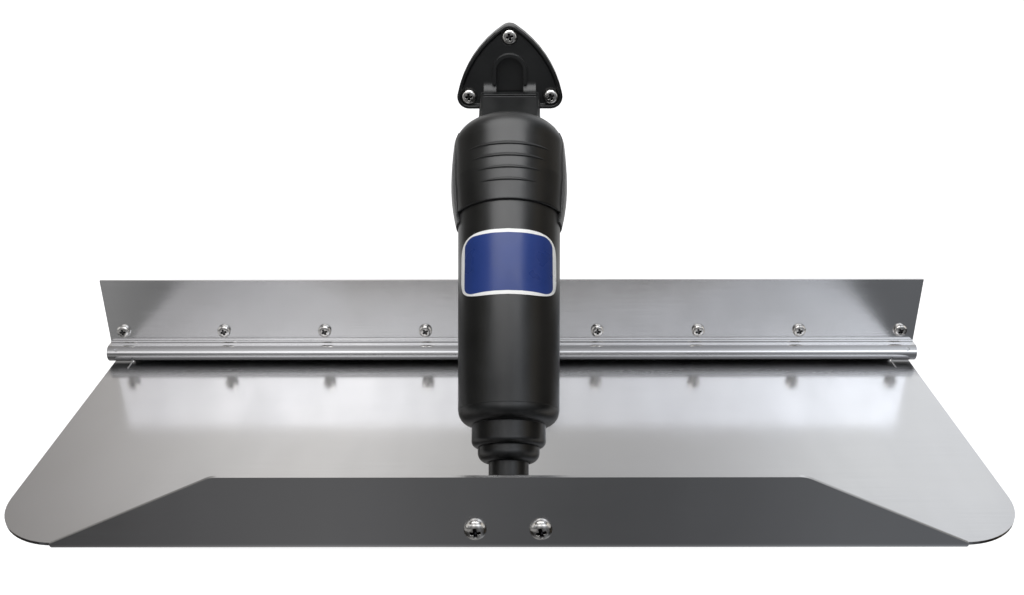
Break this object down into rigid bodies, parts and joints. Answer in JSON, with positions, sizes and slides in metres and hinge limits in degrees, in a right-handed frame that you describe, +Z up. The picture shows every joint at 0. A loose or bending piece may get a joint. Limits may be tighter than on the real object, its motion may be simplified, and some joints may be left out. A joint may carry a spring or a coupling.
{
  "type": "boat trim tab",
  "caption": "Hinged stainless trim plane with a folded trailing flange, a transom backing plate and a sprung hydraulic actuator between upper and lower hinges.",
  "frame": {"origin": "on the transom plane at the middle of the backing plate's screw row", "axes": "+X along the span, +Y forward into the transom, +Z up"},
  "size_m": [0.6096, 0.2651, 0.2548],
  "materials": {
    "stainless_sheet": "mill finish stainless sheet with fine brushing along the span",
    "stainless_rod": "drawn stainless",
    "screw_steel": "bright stainless",
    "spring_steel": "drawn spring wire",
    "black_moulding": "satin moulded plastic",
    "brass_fitting": "machined brass",
    "seal_rubber": "moulded nitrile rubber",
    "acetal": "turned acetal",
    "label_print": "blank blue vinyl with a white border"
  },
  "bodies": {
    "transom_side": {"backing_plate": "stainless_sheet", "hinge_rod": "stainless_rod", "plate_screws": "screw_steel", "upper_hinge_base": "black_moulding", "upper_hinge_screws": "screw_steel"},
    "plane": {"trim_plane": "stainless_sheet", "lower_hinge_bracket": "black_moulding", "lower_hinge_pin": "stainless_rod", "pin_clips": "stainless_rod", "flange_screws": "screw_steel", "flange_nuts": "screw_steel"},
    "cylinder": {"actuator_head": "black_moulding", "upper_hinge_pin": "stainless_rod", "hose_fitting": "brass_fitting", "hose_nut": "brass_fitting", "head_seal": "seal_rubber", "actuator_barrel": "black_moulding", "barrel_label": "label_print", "return_spring": "spring_steel", "spring_seat": "stainless_rod", "rod_bush": "acetal", "rod_seal": "seal_rubber", "gland_cap": "black_moulding", "rod_wiper": "seal_rubber"},
    "rod": {"actuator_rod": "black_moulding", "piston": "acetal", "piston_seal": "seal_rubber", "piston_guide_ring": "acetal", "piston_screw": "screw_steel"}
  },
  "joints": [
    {"name": "plane_hinge", "type": "hinge", "parent": "transom_side", "child": "plane", "pos_m": [0, -0.00785, -0.01545], "axis": [1, 0, 0], "range_deg": [0, 20], "stiffness_Nm_per_rad": 20, "springref_deg": -20.05},
    {"name": "actuator_swing", "type": "hinge", "parent": "transom_side", "child": "cylinder", "pos_m": [0, -0.0639, 0.1564], "axis": [1, 0, 0], "range_deg": [0, 11.5]},
    {"name": "rod_slide", "type": "slide", "parent": "cylinder", "child": "rod", "axis": [0, -0.6497, -0.7602], "range_m": [0, 0.051], "deforming": ["return_spring"]}
  ],
  "couplings": [
    {"joint": "actuator_swing", "follows": "plane_hinge", "ratio": 0.566},
    {"joint": "rod_slide", "follows": "plane_hinge", "m_per_rad": 0.144}
  ]
}
